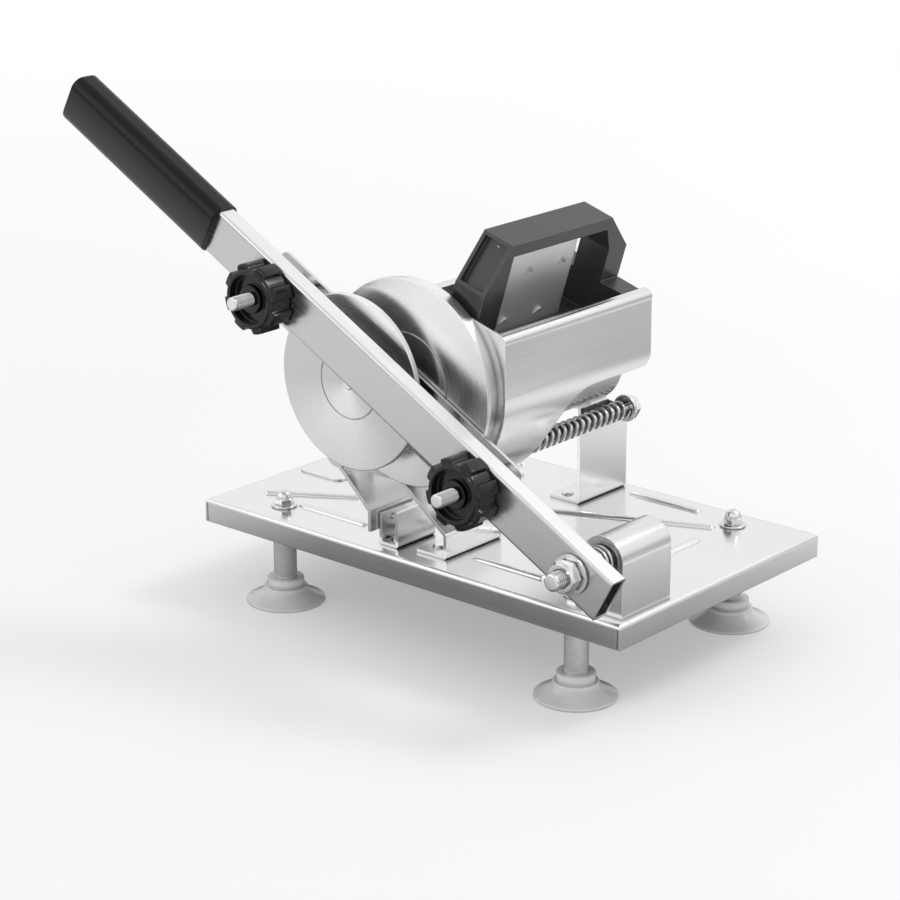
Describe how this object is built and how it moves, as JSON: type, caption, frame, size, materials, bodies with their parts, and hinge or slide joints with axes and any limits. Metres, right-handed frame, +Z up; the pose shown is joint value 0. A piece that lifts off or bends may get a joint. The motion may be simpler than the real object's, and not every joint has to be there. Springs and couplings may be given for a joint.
{
  "type": "manual meat slicer",
  "caption": "Hand-operated meat slicer: a pivoting lever with a blade cuts past a round plate fed by a tilted trough, on a steel base with suction feet.",
  "frame": {"origin": "centre of the bounding box's footprint, on the surface that the suction feet stand on", "axes": "+X along the base towards the pivot, +Y from the lever side to the rear of the trough, +Z up"},
  "size_m": [0.4076, 0.2371, 0.3049],
  "materials": {
    "base_steel": "brushed",
    "leg_steel": "brushed",
    "cup_rubber": "satin",
    "fastener_steel": "polished",
    "spring_steel": "polished",
    "bracket_steel": "brushed",
    "lever_steel": "brushed",
    "blade_steel": "brushed",
    "disc_steel": "brushed",
    "trough_steel": "brushed",
    "shroud_steel": "brushed",
    "pusher_steel": "brushed",
    "grip_plastic": "satin",
    "knob_plastic": "satin",
    "handle_plastic": "satin"
  },
  "bodies": {
    "base": {"base_pan": "base_steel", "leg_1": "leg_steel", "leg_2": "leg_steel", "leg_3": "leg_steel", "leg_4": "leg_steel", "suction_cup_1": "cup_rubber", "suction_cup_2": "cup_rubber", "suction_cup_3": "cup_rubber", "suction_cup_4": "cup_rubber", "leg_studs": "fastener_steel", "dome_nuts": "fastener_steel", "base_rivets": "fastener_steel", "pivot_bracket": "bracket_steel", "pivot_bolt": "fastener_steel", "pivot_washer": "fastener_steel", "pivot_nut": "fastener_steel", "pivot_spring": "spring_steel", "mouth_disc": "disc_steel", "meat_trough": "trough_steel", "trough_shroud": "shroud_steel", "front_support": "bracket_steel", "rear_support": "bracket_steel", "spring_ear": "bracket_steel", "adjuster_spring": "spring_steel", "slide_guide": "bracket_steel", "guide_screw": "fastener_steel"},
    "lever": {"lever_tube": "lever_steel", "lever_grip": "grip_plastic", "blade": "blade_steel", "blade_bolts": "fastener_steel", "blade_sleeves": "bracket_steel"},
    "knob_left": {"knob_left": "knob_plastic"},
    "knob_right": {"knob_right": "knob_plastic"},
    "gauge": {"gauge_disc": "disc_steel", "gauge_screw": "fastener_steel", "gauge_slide": "bracket_steel", "gauge_link": "bracket_steel"},
    "adjuster": {"adjuster_screw": "fastener_steel", "adjuster_washer": "fastener_steel", "adjuster_nut": "fastener_steel"},
    "pusher": {"pusher_plate": "pusher_steel", "pusher_handle": "handle_plastic"}
  },
  "joints": [
    {"name": "lever_pivot", "type": "hinge", "parent": "base", "child": "lever", "pos_m": [0.17704, -0.08375, 0.0895], "axis": [0, 1, 0], "range_deg": [-10, 55]},
    {"name": "knob_left_turn", "type": "hinge", "parent": "lever", "child": "knob_left", "pos_m": [-0.04014, -0.09795, 0.20149], "axis": [0, 1, 0], "continuous": true},
    {"name": "knob_right_turn", "type": "hinge", "parent": "lever", "child": "knob_right", "pos_m": [0.10845, -0.09795, 0.12098], "axis": [0, 1, 0], "continuous": true},
    {"name": "pusher_travel", "type": "slide", "parent": "base", "child": "pusher", "axis": [0, 1, 0], "range_m": [0, 0.09]},
    {"name": "adjuster_turn", "type": "hinge", "parent": "base", "child": "adjuster", "pos_m": [0.07004, 0.02905, 0.11351], "axis": [0, 1, 0], "range_deg": [-951, 1441]},
    {"name": "gauge_travel", "type": "slide", "parent": "base", "child": "gauge", "axis": [0, 1, 0], "range_m": [-0.005, 0.0033]}
  ],
  "couplings": [
    {"joint": "adjuster_turn", "follows": "gauge_travel", "rad_per_m": -5026.5}
  ]
}
